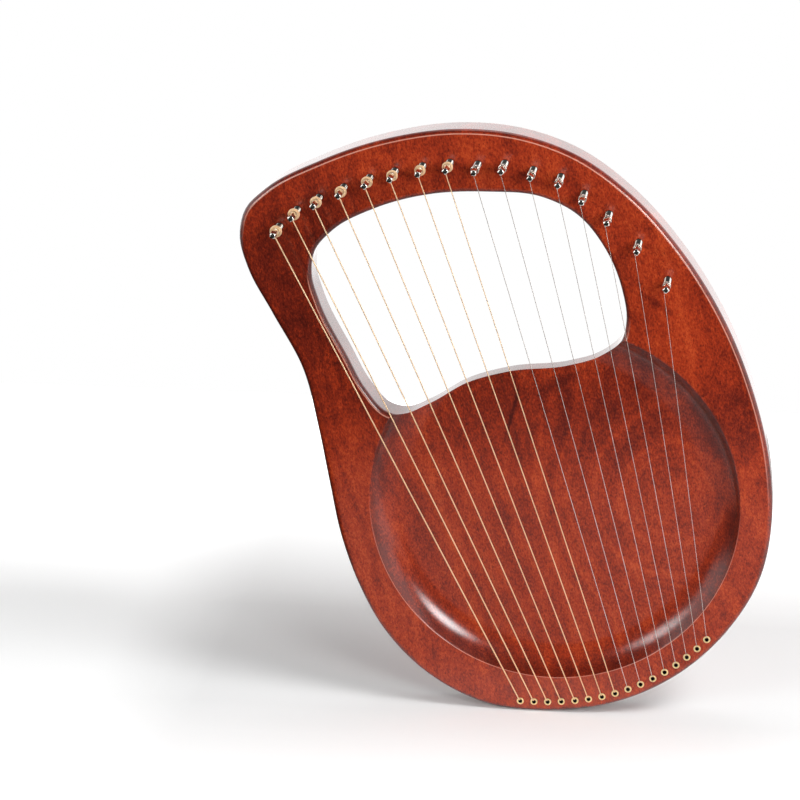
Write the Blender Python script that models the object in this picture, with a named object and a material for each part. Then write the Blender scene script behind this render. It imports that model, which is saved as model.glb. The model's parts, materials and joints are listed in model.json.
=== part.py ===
"""A sixteen-string lyre harp, carved from one thick board, standing upright.

X runs to the right and Z up as a listener sees the harp, and the strings are on
the -Y side. Flat shapes are drawn in millimetres in the plane of the face, with
Z measured from the lowest edge, and depths are measured back from the face.
"""

import math

import bmesh
import bpy
import numpy as np
from mathutils import Matrix, Vector

DRAWN_UNIT = 0.001            # metres in one unit of the drawn outlines and places
CURVE_SAMPLES = 16            # points in each stretch of a smooth curve
SMOOTH_ANGLE = 40.0           # degrees; sharper edges keep their crease

# Fits
FIT = 0.0003                  # clearance between touching pieces
OVERCUT = 0.002               # how far a cutter stands past the face it cuts

# Carved body
BODY_THICKNESS = 0.030
FRONT_ROUND = 0.004
BACK_ROUND = 0.003
ROUND_MIDDLE = 45.0           # degrees round the front edge, where it has a point
OUTLINE_STEPS = 96
OPENING_STEPS = 60
EYELET_LINE_STEPS = 720
OUTLINE = [
    (36, 0.5), (-10, 3), (-57, 25), (-93, 61.5), (-112.5, 98), (-125, 134),
    (-134.5, 180), (-142.5, 222), (-154, 268), (-177, 311), (-195, 345),
    (-201, 369), (-196.5, 390), (-181, 406), (-141, 428), (-90, 446.5),
    (-38, 455), (8, 452), (52, 437), (90, 410), (130, 366), (161, 317),
    (183, 265), (197.5, 209), (201, 163), (194, 117), (172, 74.5), (134, 35),
    (86, 9.5),
]
OPENING = [
    (-89, 236), (-78, 234), (-60, 241), (-30, 259), (2, 269), (45, 275),
    (70, 284), (85, 298), (88.5, 315), (85, 337), (72, 368), (50, 394),
    (24, 406), (-15, 408.5), (-60, 405), (-100, 393), (-131, 375.5),
    (-144.5, 359), (-146.5, 341), (-141, 321), (-120, 279), (-106, 253.5),
]

# Round dish carved in the face
DISH_CENTRE = (37.0, 169.0)
DISH_RADIUS = 0.140
DISH_DEPTH = 0.013
DISH_COVE = 0.028             # how wide the curved wall of the dish is
DISH_STEPS = 72
COVE_STEPS = 5

# Sound chamber behind the dish, closed by the back plate
SOUNDBOARD_THICKNESS = 0.0045
CHAMBER_CENTRE = (37.0, 152.0)
CHAMBER_RADIUS = 0.108
LEDGE_WIDTH = 0.006
BACK_PLATE_THICKNESS = 0.004
SOUND_HOLE_RADIUS = 0.022
CHAMBER_STEPS = 48
SOUND_HOLE_STEPS = 28

# Braces glued inside the back plate
BRACE_HEIGHT = 0.0055
BRACE_WIDTH = 0.008
BRACE_OFFSET = 0.052          # from the middle of the plate, up and down
BRACE_END_SPACE = 0.006       # between a brace's end and the chamber wall
BRACE_END_TAPER = 0.022
BRACE_END_HEIGHT = BRACE_HEIGHT / 3

# Tuning pins
PIN_PLACES = [
    (-170.0, 378.5), (-156.5, 391.8), (-140.0, 401.4), (-121.5, 409.8), (-102.2, 417.6),
    (-83.5, 423.0), (-63.0, 427.5), (-42.9, 430.6), (-22.3, 429.9), (-2.5, 431.2),
    (18.6, 427.1), (38.7, 422.3), (56.0, 410.4), (74.4, 395.5), (96.5, 374.8), (118.5, 347.3),
]
PIN_RADIUS = 0.0025
PIN_REACH = 0.031             # how far a pin stands out of the face
PIN_BURIED = 0.017
PIN_SIDES = 12
PIN_POINT_CHAMFER = 0.0006
HEAD_LENGTH = 0.0115
HEAD_ROOT_LENGTH = 0.0015     # over which the round shank turns square
HEAD_ROOT_WIDTH = 0.0042      # across flats
HEAD_END_WIDTH = 0.0040
HEAD_CROWN = 0.0006
HEAD_CROWN_WIDTH = 0.0028
HEAD_TURNS = (8, 60, 40, 35, 42, 18, 12, 45, 4, 45, 36, 52, 6, 74, 40, 47)  # degrees

# Brass eyelets that line the string holes
EYELET_EDGE_SPACE = 0.008      # from the outline to the middle of an eyelet
EYELET_START = (13.5, 8.0)    # near the first eyelet
EYELET_PITCH = 0.01057
EYELET_BORE_RADIUS = 0.0015
EYELET_WALL = 0.0004
EYELET_LIP = 0.0004           # chamfer at the mouth of the bore
EYELET_FLANGE_RADIUS = 0.0028
EYELET_FLANGE_EDGE = 0.0003
EYELET_FLANGE_HEIGHT = 0.0008
EYELET_LENGTH = 0.005
EYELET_SIDES = 10

# Holes for the strings through the body
STRING_BORE_RADIUS = 0.0013
BALL_POCKET_DEPTH = 0.006
HOLE_SIDES = 8

# Strings
STRING_COUNT = len(PIN_PLACES)
WOUND_COUNT = 8
WOUND_DIAMETERS = (0.00110, 0.00080)
PLAIN_DIAMETERS = (0.00050, 0.00036)
BALL_RADIUS = 0.0020
BALL_LENGTH = 0.0038
BALL_NECK = 0.0003
BEND_RADIUS = 0.0016          # where a string leans over the mouth of its eyelet
BEND_STEPS = 3
BEND_LEAD = 0.0025            # straight stretch just before the bend
COIL_TURNS = 2.5
COIL_STEPS = 12               # points in one turn
COIL_SPACE = 0.0005           # between one turn and the next
COIL_HEIGHT = 0.0148          # of the lowest turn above the face

# The face is placed so that the whole harp, pins too, is centred on Y
FACE_Y = (PIN_REACH - BODY_THICKNESS) / 2
BACK_Y = FACE_Y + BODY_THICKNESS
CHAMBER_TOP_Y = FACE_Y + DISH_DEPTH + SOUNDBOARD_THICKNESS
PLATE_TOP_Y = BACK_Y - BACK_PLATE_THICKNESS
LEDGE_Y = PLATE_TOP_Y - FIT
PLATE_RADIUS = CHAMBER_RADIUS + LEDGE_WIDTH


def in_plane(place, y=FACE_Y):
    """Turn a place drawn in millimetres on the face into a point at depth y."""
    return Vector((place[0] * DRAWN_UNIT, y, place[1] * DRAWN_UNIT))


def apothem_to_radius(apothem, sides):
    """Radius of the polygon with this many sides that clears a round of radius apothem."""
    return apothem / math.cos(math.pi / sides)


def material(name, colour, roughness, metallic=0.0):
    """Make a Principled material."""
    made = bpy.data.materials.new(name)
    made.use_nodes = True
    shader = made.node_tree.nodes["Principled BSDF"]
    shader.inputs["Base Color"].default_value = (*colour, 1.0)
    shader.inputs["Roughness"].default_value = roughness
    shader.inputs["Metallic"].default_value = metallic
    return made


def add_object(name, data, finish=None, place=(0.0, 0.0, 0.0)):
    """Link a mesh or curve into the scene as a named object."""
    thing = bpy.data.objects.new(name, data)
    thing.location = place
    if finish is not None and not data.materials:
        data.materials.append(finish)
    bpy.context.collection.objects.link(thing)
    return thing


def mesh_from(bm, name, smooth=True):
    """Close a bmesh into a mesh with its faces pointing out."""
    bmesh.ops.recalc_face_normals(bm, faces=bm.faces)
    mesh = bpy.data.meshes.new(name)
    bm.to_mesh(mesh)
    bm.free()
    if smooth:
        mesh.shade_smooth()
        mesh.set_sharp_from_angle(angle=math.radians(SMOOTH_ANGLE))
    return mesh


def add_ring(bm, middle, reach, sides):
    """Points round the Y axis through middle; reach gives their distance at an angle."""
    ring = []
    for i in range(sides):
        angle = 2 * math.pi * (i + 0.5) / sides
        outwards = Vector((math.cos(angle), 0.0, math.sin(angle)))
        ring.append(bm.verts.new(middle + outwards * reach(angle)))
    return ring


def join_rings(bm, rings):
    """Close the wall between each ring of points and the next."""
    for near, far in zip(rings, rings[1:]):
        for i in range(len(near)):
            j = (i + 1) % len(near)
            corners = (near[i], near[j], far[j], far[i])
            bm.faces.new(tuple(dict.fromkeys(corners)))


def smooth_loop(places, steps):
    """Closed smooth curve through places, as evenly spaced points.

    Each stretch is a cubic whose end slopes are shared with its neighbours.
    """
    knots = np.array(places, float)
    chords = np.linalg.norm(np.roll(knots, -1, axis=0) - knots, axis=1)
    before = (knots - np.roll(knots, 1, axis=0)) / np.roll(chords, 1)[:, None]
    after = (np.roll(knots, -1, axis=0) - knots) / chords[:, None]
    share = (chords / (chords + np.roll(chords, 1)))[:, None]
    slopes = before * share + after * (1 - share)
    t = np.linspace(0.0, 1.0, CURVE_SAMPLES, endpoint=False)[:, None]
    dense = []
    for i, chord in enumerate(chords):
        j = (i + 1) % len(knots)
        dense.append(
            (2 * t**3 - 3 * t**2 + 1) * knots[i]
            + (t**3 - 2 * t**2 + t) * chord * slopes[i]
            + (3 * t**2 - 2 * t**3) * knots[j]
            + (t**3 - t**2) * chord * slopes[j]
        )
    curve = np.vstack(dense + [knots[:1]])
    run = np.concatenate([[0.0], np.cumsum(np.linalg.norm(np.diff(curve, axis=0), axis=1))])
    stops = np.linspace(0.0, run[-1], steps, endpoint=False)
    return np.column_stack([np.interp(stops, run, curve[:, k]) for k in (0, 1)])


def inset_loop(loop, distance):
    """Move a clockwise or anticlockwise loop sideways by distance, to its left."""
    along = np.roll(loop, -1, axis=0) - np.roll(loop, 1, axis=0)
    along /= np.linalg.norm(along, axis=1)[:, None]
    left = np.column_stack([-along[:, 1], along[:, 0]])
    return loop + left * distance


def anticlockwise(loop):
    """Return the loop running anticlockwise, X to the right and Z up."""
    x, z = loop[:, 0], loop[:, 1]
    area = np.sum(x * np.roll(z, -1) - z * np.roll(x, -1))
    return loop if area > 0 else loop[::-1]


def edge_levels():
    """Pairs of depth behind the face and inset of the outline there, front to back."""
    middle = math.radians(ROUND_MIDDLE)
    return [
        (0.0, FRONT_ROUND),
        (FRONT_ROUND * (1 - math.sin(middle)), FRONT_ROUND * (1 - math.cos(middle))),
        (FRONT_ROUND, 0.0),
        (BODY_THICKNESS - BACK_ROUND, 0.0),
        (BODY_THICKNESS, BACK_ROUND),
    ]


def add_wall(bm, loop, to_wood):
    """Sweep one edge of the board from face to back; to_wood is +1 where wood lies left."""
    rings = []
    for depth, inset in edge_levels():
        ring = inset_loop(loop, to_wood * inset / DRAWN_UNIT)
        rings.append([bm.verts.new(in_plane(p, FACE_Y + depth)) for p in ring])
    join_rings(bm, rings)
    return rings[0], rings[-1]


def fill_between(bm, outer, inner):
    """Close the flat face between the outline and the opening."""
    edges = []
    for ring in (outer, inner):
        for i, vert in enumerate(ring):
            edges.append(bm.edges.get((vert, ring[(i + 1) % len(ring)])))
    bmesh.ops.triangle_fill(bm, use_beauty=True, use_dissolve=False, edges=edges)


def turned(name, profile, sides, centres, cutter=False):
    """Turn a closed profile of (radius, y) about Y at each centre; one body a centre.

    A profile point of radius 0 becomes a single point on the axis.
    """
    bm = bmesh.new()
    for centre in centres:
        rings = []
        for radius, y in profile:
            middle = in_plane(centre, y)
            if radius > 0.0:
                rings.append(add_ring(bm, middle, lambda angle: radius, sides))
            else:
                rings.append([bm.verts.new(middle)] * sides)
        if profile[0][0] > 0.0:
            rings.append(rings[0])
        join_rings(bm, rings)
    mesh = mesh_from(bm, name, smooth=not cutter)
    if not cutter:
        return mesh
    thing = add_object(name, mesh)
    thing.hide_render = True
    thing.display_type = "WIRE"
    return thing


def subtract(target, cutters):
    """Cut shapes out of another with one live Boolean."""
    group = bpy.data.collections.new("cutters")
    for cutter in cutters:
        group.objects.link(cutter)
    cut = target.modifiers.new("cuts", "BOOLEAN")
    cut.operation = "DIFFERENCE"
    cut.solver = "EXACT"
    cut.operand_type = "COLLECTION"
    cut.collection = group


def dish_profile():
    """Profile of the dish cutter: a hollow arc that runs from the rim into a flat floor."""
    hollow = (DISH_COVE**2 + DISH_DEPTH**2) / (2 * DISH_DEPTH)
    steepest = math.asin(DISH_COVE / hollow)
    floor_radius = DISH_RADIUS - DISH_COVE
    floor_y = FACE_Y + DISH_DEPTH
    profile = [(0.0, FACE_Y - OVERCUT), (DISH_RADIUS, FACE_Y - OVERCUT)]
    for i in range(COVE_STEPS + 1):
        slope = steepest * (1 - i / COVE_STEPS)
        radius = floor_radius + hollow * math.sin(slope)
        profile.append((radius, floor_y - hollow * (1 - math.cos(slope))))
    profile.append((0.0, floor_y))
    return profile


def chamber_profile():
    """Profile of the chamber cutter, with the ledge that the back plate sits on."""
    wall = apothem_to_radius(CHAMBER_RADIUS, CHAMBER_STEPS)
    ledge = apothem_to_radius(PLATE_RADIUS + FIT, CHAMBER_STEPS)
    return [
        (0.0, CHAMBER_TOP_Y),
        (wall, CHAMBER_TOP_Y),
        (wall, LEDGE_Y),
        (ledge, LEDGE_Y),
        (ledge, BACK_Y + OVERCUT),
        (0.0, BACK_Y + OVERCUT),
    ]


def pin_hole_profile():
    """Profile of the blind hole that a tuning pin is driven into."""
    wall = apothem_to_radius(PIN_RADIUS + FIT, HOLE_SIDES)
    floor = FACE_Y + PIN_BURIED + FIT
    return [(0.0, FACE_Y - OVERCUT), (wall, FACE_Y - OVERCUT), (wall, floor), (0.0, floor)]


def string_hole_profile():
    """Profile of a string hole: eyelet seat, bore, and the pocket for the ball end."""
    seat = apothem_to_radius(EYELET_BORE_RADIUS + EYELET_WALL + FIT, HOLE_SIDES)
    bore = apothem_to_radius(STRING_BORE_RADIUS, HOLE_SIDES)
    pocket = apothem_to_radius(BALL_RADIUS + FIT, HOLE_SIDES)
    seat_end = FACE_Y + EYELET_LENGTH + FIT
    pocket_start = BACK_Y - BALL_POCKET_DEPTH
    return [
        (0.0, FACE_Y - OVERCUT),
        (seat, FACE_Y - OVERCUT),
        (seat, seat_end),
        (bore, seat_end),
        (bore, pocket_start),
        (pocket, pocket_start),
        (pocket, BACK_Y + OVERCUT),
        (0.0, BACK_Y + OVERCUT),
    ]


def eyelet_places():
    """Places of the eyelets, evenly spaced along a line inside the lower edge."""
    outline = anticlockwise(smooth_loop(OUTLINE, EYELET_LINE_STEPS))
    line = inset_loop(outline, EYELET_EDGE_SPACE / DRAWN_UNIT)
    start = np.argmin(np.linalg.norm(line - np.array(EYELET_START), axis=1))
    line = np.roll(line, -start, axis=0)
    run = np.concatenate([[0.0], np.cumsum(np.linalg.norm(np.diff(line, axis=0), axis=1))])
    stops = np.arange(STRING_COUNT) * EYELET_PITCH / DRAWN_UNIT
    return [(np.interp(stop, run, line[:, 0]), np.interp(stop, run, line[:, 1])) for stop in stops]


def build_body(finish):
    """Carved board with its opening, dish, sound chamber and drilled holes."""
    bm = bmesh.new()
    outline = anticlockwise(smooth_loop(OUTLINE, OUTLINE_STEPS))
    opening = anticlockwise(smooth_loop(OPENING, OPENING_STEPS))
    outer_front, outer_back = add_wall(bm, outline, 1)
    inner_front, inner_back = add_wall(bm, opening, -1)
    fill_between(bm, outer_front, inner_front)
    fill_between(bm, outer_back, inner_back)
    body = add_object("body", mesh_from(bm, "body"), finish)
    eyelets = eyelet_places()
    subtract(body, [
        turned("cut_pin_holes", pin_hole_profile(), HOLE_SIDES, PIN_PLACES, True),
        turned("cut_string_holes", string_hole_profile(), HOLE_SIDES, eyelets, True),
        turned("cut_chamber", chamber_profile(), CHAMBER_STEPS, [CHAMBER_CENTRE], True),
        turned("cut_dish", dish_profile(), DISH_STEPS, [DISH_CENTRE], True),
    ])


def build_back_plate(finish):
    """Round plate that closes the chamber, with the sound hole in its middle."""
    bm = bmesh.new()
    walls = []
    for radius, sides in ((PLATE_RADIUS, CHAMBER_STEPS), (SOUND_HOLE_RADIUS, SOUND_HOLE_STEPS)):
        rings = []
        for y in (PLATE_TOP_Y, BACK_Y):
            rings.append(add_ring(bm, in_plane(CHAMBER_CENTRE, y), lambda angle: radius, sides))
        join_rings(bm, rings)
        walls.append(rings)
    for outer, inner in zip(*walls):
        fill_between(bm, outer, inner)
    add_object("back_plate", mesh_from(bm, "back_plate"), finish)


def build_brace(name, offset, finish):
    """Cross strip glued inside the back plate, thinned towards its ends."""
    room = CHAMBER_RADIUS - BRACE_END_SPACE
    half = math.sqrt(room**2 - (abs(offset) + BRACE_WIDTH / 2) ** 2)
    glue_y = PLATE_TOP_Y - FIT
    thin_y = glue_y - BRACE_END_HEIGHT
    full_y = glue_y - BRACE_HEIGHT
    side = [
        (-half, glue_y),
        (half, glue_y),
        (half, thin_y),
        (half - BRACE_END_TAPER, full_y),
        (BRACE_END_TAPER - half, full_y),
        (-half, thin_y),
    ]
    bm = bmesh.new()
    middle = in_plane(CHAMBER_CENTRE, 0.0)
    low = middle.z + offset - BRACE_WIDTH / 2
    face = bm.faces.new([bm.verts.new((middle.x + x, y, low)) for x, y in side])
    swept = bmesh.ops.extrude_face_region(bm, geom=[face])
    moved = [v for v in swept["geom"] if isinstance(v, bmesh.types.BMVert)]
    bmesh.ops.translate(bm, verts=moved, vec=(0.0, 0.0, BRACE_WIDTH))
    add_object(name, mesh_from(bm, name, smooth=False), finish)


def pin_section(half_width, corner_radius, angle):
    """Reach of a square section with rounded-off corners at this angle."""
    to_flat = math.cos((angle + math.pi / 4) % (math.pi / 2) - math.pi / 4)
    return min(half_width / to_flat, corner_radius)


def pin_mesh(finish):
    """Tuning pin about its own Y axis: buried shank, round shank, squared tapered head."""
    head_start = PIN_REACH - HEAD_LENGTH
    far = 2 * PIN_RADIUS
    sections = [
        (-PIN_BURIED, far, PIN_RADIUS - PIN_POINT_CHAMFER),
        (PIN_POINT_CHAMFER - PIN_BURIED, far, PIN_RADIUS),
        (head_start, far, PIN_RADIUS),
        (head_start + HEAD_ROOT_LENGTH, HEAD_ROOT_WIDTH / 2, PIN_RADIUS),
        (PIN_REACH - HEAD_CROWN, HEAD_END_WIDTH / 2, PIN_RADIUS),
        (PIN_REACH, HEAD_CROWN_WIDTH / 2, PIN_RADIUS),
    ]
    bm = bmesh.new()
    rings = []
    for height, half_width, corner in sections:
        middle = Vector((0.0, -height, 0.0))
        rings.append(add_ring(
            bm, middle, lambda angle: pin_section(half_width, corner, angle), PIN_SIDES,
        ))
    join_rings(bm, rings)
    bm.faces.new(rings[0])
    bm.faces.new(rings[-1])
    mesh = mesh_from(bm, "tuning_pin")
    mesh.materials.append(finish)
    return mesh


def build_pins(finish):
    """Sixteen tuning pins, each with its origin on the axis that it turns about."""
    mesh = pin_mesh(finish)
    for i, (place, turn) in enumerate(zip(PIN_PLACES, HEAD_TURNS)):
        pin = add_object(f"tuning_pin_{i + 1:02d}", mesh, place=in_plane(place))
        pin.rotation_euler = (0.0, math.radians(turn), 0.0)


def eyelet_profile():
    """Closed profile of an eyelet: barrel in the wood, flange on the face."""
    barrel = EYELET_BORE_RADIUS + EYELET_WALL
    under = FACE_Y - FIT
    crown = under - EYELET_FLANGE_HEIGHT
    end = FACE_Y + EYELET_LENGTH
    return [
        (EYELET_BORE_RADIUS, end),
        (EYELET_BORE_RADIUS, crown + EYELET_LIP),
        (EYELET_BORE_RADIUS + EYELET_LIP, crown),
        (EYELET_FLANGE_RADIUS, under - EYELET_FLANGE_EDGE),
        (EYELET_FLANGE_RADIUS, under),
        (barrel, under),
        (barrel, end),
    ]


def build_eyelets(finish):
    """One brass eyelet in the mouth of each string hole."""
    for i, place in enumerate(eyelet_places()):
        name = f"eyelet_{i + 1:02d}"
        mesh = turned(name, eyelet_profile(), EYELET_SIDES, [place])
        add_object(name, mesh, finish)


def string_diameter(index):
    """Diameter of one string: the wound ones taper first, then the plain ones."""
    if index < WOUND_COUNT:
        first, last = WOUND_DIAMETERS
        share = index / (WOUND_COUNT - 1)
    else:
        first, last = PLAIN_DIAMETERS
        share = (index - WOUND_COUNT) / (STRING_COUNT - WOUND_COUNT - 1)
    return first + (last - first) * share


def string_route(index, eyelet):
    """Points and radii of one string, from its ball end to the cut end on its pin."""
    radius = string_diameter(index) / 2
    coil_radius = apothem_to_radius(PIN_RADIUS + FIT + radius, COIL_STEPS)
    start = in_plane(eyelet)
    pin = in_plane(PIN_PLACES[index])
    to_pin = pin - start
    lean = math.asin(coil_radius / to_pin.length)
    heading = (Matrix.Rotation(-lean, 3, "Y") @ to_pin).normalized()
    touch = start + heading * to_pin.length * math.cos(lean)

    def at(along, height):
        return start + heading * along + Vector((0.0, -height, 0.0))

    rub = EYELET_BORE_RADIUS - FIT - radius - EYELET_LIP
    top = FIT + EYELET_FLANGE_HEIGHT + FIT + radius
    ball_start = -BODY_THICKNESS + BALL_POCKET_DEPTH - FIT
    points = [
        (at(0.0, ball_start - BALL_LENGTH), BALL_RADIUS),
        (at(0.0, ball_start), BALL_RADIUS),
        (at(0.0, ball_start + BALL_NECK), radius),
        (at(rub, top - BEND_RADIUS - BEND_LEAD), radius),
    ]
    for i in range(BEND_STEPS + 1):
        a = math.radians(90) * i / BEND_STEPS
        along = rub + BEND_RADIUS * (1 - math.cos(a))
        points.append((at(along, top - BEND_RADIUS * (1 - math.sin(a))), radius))

    spoke = touch - pin
    pitch = 2 * radius + COIL_SPACE
    count = round(COIL_TURNS * COIL_STEPS)
    for i in range(count + 1):
        turn = Matrix.Rotation(2 * math.pi * i / COIL_STEPS, 3, "Y")
        height = COIL_HEIGHT + pitch * i / COIL_STEPS
        points.append((pin + turn @ spoke + Vector((0.0, -height, 0.0)), radius))
    last = points[-1][0]
    out = (last - points[-2][0]).normalized()
    points.append((last + out * 2 * radius, radius))
    return points


def least_gap(points, turn_steps):
    """Least clear space between turns of a coiled tube, measured between its points."""
    gap = math.inf
    coil = points[-(round(COIL_TURNS * turn_steps) + 2):]
    for i, (here, radius) in enumerate(coil):
        for there, _ in coil[i + turn_steps // 2:]:
            gap = min(gap, (here - there).length - 2 * radius)
    return gap


def build_string(index, eyelet, finish):
    """One string as a single tube: ball end, rise through the eyelet, span and turns."""
    name = f"string_{index + 1:02d}"
    points = string_route(index, eyelet)
    radius = string_diameter(index) / 2
    curve = bpy.data.curves.new(name, "CURVE")
    curve.dimensions = "3D"
    curve.bevel_depth = radius
    curve.bevel_resolution = 1
    curve.use_fill_caps = True
    spline = curve.splines.new("POLY")
    spline.points.add(len(points) - 1)
    for knot, (place, local_radius) in zip(spline.points, points):
        knot.co = (*place, 1.0)
        knot.radius = local_radius / radius
    add_object(name, curve, finish)
    print(f"{name} least gap to itself {least_gap(points, COIL_STEPS) * 1000:.2f} mm")


def main():
    """Clear the scene and build the harp."""
    for thing in list(bpy.data.objects):
        bpy.data.objects.remove(thing, do_unlink=True)

    mahogany = material("lacquered_mahogany", (0.26, 0.045, 0.018), 0.25)
    plate_wood = material("back_mahogany", (0.22, 0.045, 0.020), 0.30)
    spruce = material("spruce", (0.62, 0.44, 0.24), 0.60)
    nickel = material("nickel_plate", (0.78, 0.77, 0.74), 0.15, 1.0)
    brass = material("brass", (0.83, 0.58, 0.26), 0.22, 1.0)
    bronze = material("bronze_winding", (0.80, 0.52, 0.27), 0.30, 1.0)
    steel = material("plain_steel", (0.70, 0.70, 0.70), 0.20, 1.0)

    build_body(mahogany)
    build_back_plate(plate_wood)
    build_brace("back_brace_upper", BRACE_OFFSET, spruce)
    build_brace("back_brace_lower", -BRACE_OFFSET, spruce)
    build_pins(nickel)
    build_eyelets(brass)
    for i, eyelet in enumerate(eyelet_places()):
        build_string(i, eyelet, bronze if i < WOUND_COUNT else steel)


main()
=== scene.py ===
"""A sixteen-string lyre harp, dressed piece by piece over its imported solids.

X runs to the right and Z up as a listener sees the harp, and the strings are on
the -Y side. Lengths are in metres, and the flat outlines are drawn in millimetres
in the plane of the face, with Z measured from the lowest edge.
"""

import json
import logging
import math
from collections.abc import Callable, Iterator, Sequence
from contextlib import contextmanager
from dataclasses import dataclass
from enum import Enum

import bmesh
import bpy
import numpy as np
from mathutils import Matrix, Vector

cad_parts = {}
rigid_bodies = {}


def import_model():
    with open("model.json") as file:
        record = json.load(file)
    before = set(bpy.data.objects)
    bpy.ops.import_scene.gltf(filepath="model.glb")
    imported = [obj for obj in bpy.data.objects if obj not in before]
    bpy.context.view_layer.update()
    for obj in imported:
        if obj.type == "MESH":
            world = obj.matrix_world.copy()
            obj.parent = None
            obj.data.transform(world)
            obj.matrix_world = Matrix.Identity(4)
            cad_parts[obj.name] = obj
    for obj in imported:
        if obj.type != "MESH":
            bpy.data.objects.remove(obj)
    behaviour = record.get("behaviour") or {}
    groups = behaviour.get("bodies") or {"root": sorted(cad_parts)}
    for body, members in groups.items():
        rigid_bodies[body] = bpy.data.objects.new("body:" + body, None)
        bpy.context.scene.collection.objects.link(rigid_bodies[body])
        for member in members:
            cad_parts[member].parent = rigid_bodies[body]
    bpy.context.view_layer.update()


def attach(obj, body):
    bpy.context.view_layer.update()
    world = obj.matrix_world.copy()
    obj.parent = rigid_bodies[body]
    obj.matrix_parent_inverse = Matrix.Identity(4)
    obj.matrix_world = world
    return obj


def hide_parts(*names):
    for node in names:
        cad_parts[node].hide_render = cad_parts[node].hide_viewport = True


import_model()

log = logging.getLogger("lyre_harp")

Point = tuple[float, float]
Profile = Sequence[Point]
Place = Sequence[float]
Size = Sequence[float]
Colour = tuple[float, float, float, float]
Piece = bpy.types.Object
Finish = bpy.types.Material
Tree = bpy.types.NodeTree
Node = bpy.types.Node
Socket = bpy.types.NodeSocket

DRAWN_UNIT = 0.001  # metres in one unit of the drawn outlines and places
FACE_Y = 0.0005  # the face of the harp
BODY_THICKNESS = 0.030
BACK_Y = FACE_Y + BODY_THICKNESS
FRAME_BODY = "frame"  # the body that all but the pins ride on
STRING_COUNT = 16
WOUND_COUNT = 8
PIN_RADIUS = 0.0025
EYELET_BORE = 0.0015  # radius of the hole through an eyelet
EYELET_HEIGHT = 0.0009  # how far its flange stands up
BALL_WAIST = 0.0010  # radius that a string's noose lies round
BALL_DEPTH = BODY_THICKNESS - 0.0032
NEAR = 1e-5  # places closer than this count as one
CURVE_SAMPLES = 16  # points in each stretch of a smooth curve

OUTLINE = [
    (36, 0.5), (-10, 3), (-57, 25), (-93, 61.5), (-112.5, 98), (-125, 134),
    (-134.5, 180), (-142.5, 222), (-154, 268), (-177, 311), (-195, 345),
    (-201, 369), (-196.5, 390), (-181, 406), (-141, 428), (-90, 446.5),
    (-38, 455), (8, 452), (52, 437), (90, 410), (130, 366), (161, 317),
    (183, 265), (197.5, 209), (201, 163), (194, 117), (172, 74.5), (134, 35),
    (86, 9.5),
]
OPENING = [
    (-89, 236), (-78, 234), (-60, 241), (-30, 259), (2, 269), (45, 275),
    (70, 284), (85, 298), (88.5, 315), (85, 337), (72, 368), (50, 394),
    (24, 406), (-15, 408.5), (-60, 405), (-100, 393), (-131, 375.5),
    (-144.5, 359), (-146.5, 341), (-141, 321), (-120, 279), (-106, 253.5),
]
PIN_PLACES = [
    (-170.0, 378.5), (-156.5, 391.8), (-140.0, 401.4), (-121.5, 409.8), (-102.2, 417.6),
    (-83.5, 423.0), (-63.0, 427.5), (-42.9, 430.6), (-22.3, 429.9), (-2.5, 431.2),
    (18.6, 427.1), (38.7, 422.3), (56.0, 410.4), (74.4, 395.5), (96.5, 374.8), (118.5, 347.3),
]
CHAMBER_CENTRE = (37.0, 152.0)


class Element(Enum):
    """What is picked in edit mode."""

    POINT = "VERT"
    EDGE = "EDGE"
    FACE = "FACE"


class StringKind(Enum):
    """The two makes of string on the harp."""

    WOUND = "wound"
    PLAIN = "plain"


# Workbench


def on_face(place: Place, y: float = FACE_Y) -> Vector:
    """Return the point at depth y of a place drawn in millimetres on the face."""
    return Vector((place[0] * DRAWN_UNIT, y, place[1] * DRAWN_UNIT))


def leave_all() -> None:
    """Deselect everything, so that the next operator meets only its own piece."""
    for thing in bpy.context.view_layer.objects:
        thing.select_set(False)


def hold(piece: Piece) -> None:
    """Make a piece the only selected one, and the active one."""
    leave_all()
    piece.select_set(True)
    bpy.context.view_layer.objects.active = piece


@contextmanager
def shaping(piece: Piece) -> Iterator[None]:
    """Hold a piece in edit mode with nothing of it picked, ready to pick points."""
    hold(piece)
    bpy.ops.object.mode_set(mode="EDIT")
    bpy.ops.mesh.select_mode(type="VERT")
    bpy.ops.mesh.select_all(action="DESELECT")
    yield
    bpy.ops.object.mode_set(mode="OBJECT")


def pick_all() -> None:
    """Pick all of the piece in edit mode."""
    bpy.ops.mesh.select_all(action="SELECT")


def pick(piece: Piece, element: Element, rule: Callable) -> int:
    """Pick in edit mode just the elements that a rule wants.

    Args:
        piece: The piece in edit mode.
        element: What is picked.
        rule: Says of one bmesh element whether it is wanted.

    Returns:
        How many elements are picked.
    """
    bpy.ops.mesh.select_mode(type=element.value)
    bpy.ops.mesh.select_all(action="DESELECT")
    shape = bmesh.from_edit_mesh(piece.data)
    parts = {Element.POINT: shape.verts, Element.EDGE: shape.edges, Element.FACE: shape.faces}
    wanted = [part for part in parts[element] if rule(part)]
    for part in wanted:
        part.select_set(True)
    shape.select_flush_mode()
    bmesh.update_edit_mesh(piece.data)
    return len(wanted)


def started(name: str) -> Piece:
    """Name the primitive just added, and put its place into its mesh."""
    piece = bpy.context.active_object
    piece.name = name
    piece.data.name = name
    hold(piece)
    bpy.ops.object.transform_apply(location=True, rotation=True, scale=True)
    return piece


def block(name: str, centre: Place, size: Size) -> Piece:
    """Add a block by its middle and its size along X, Y and Z."""
    leave_all()
    bpy.ops.mesh.primitive_cube_add(size=1.0, location=centre)
    bpy.context.active_object.scale = size
    return started(name)


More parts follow.
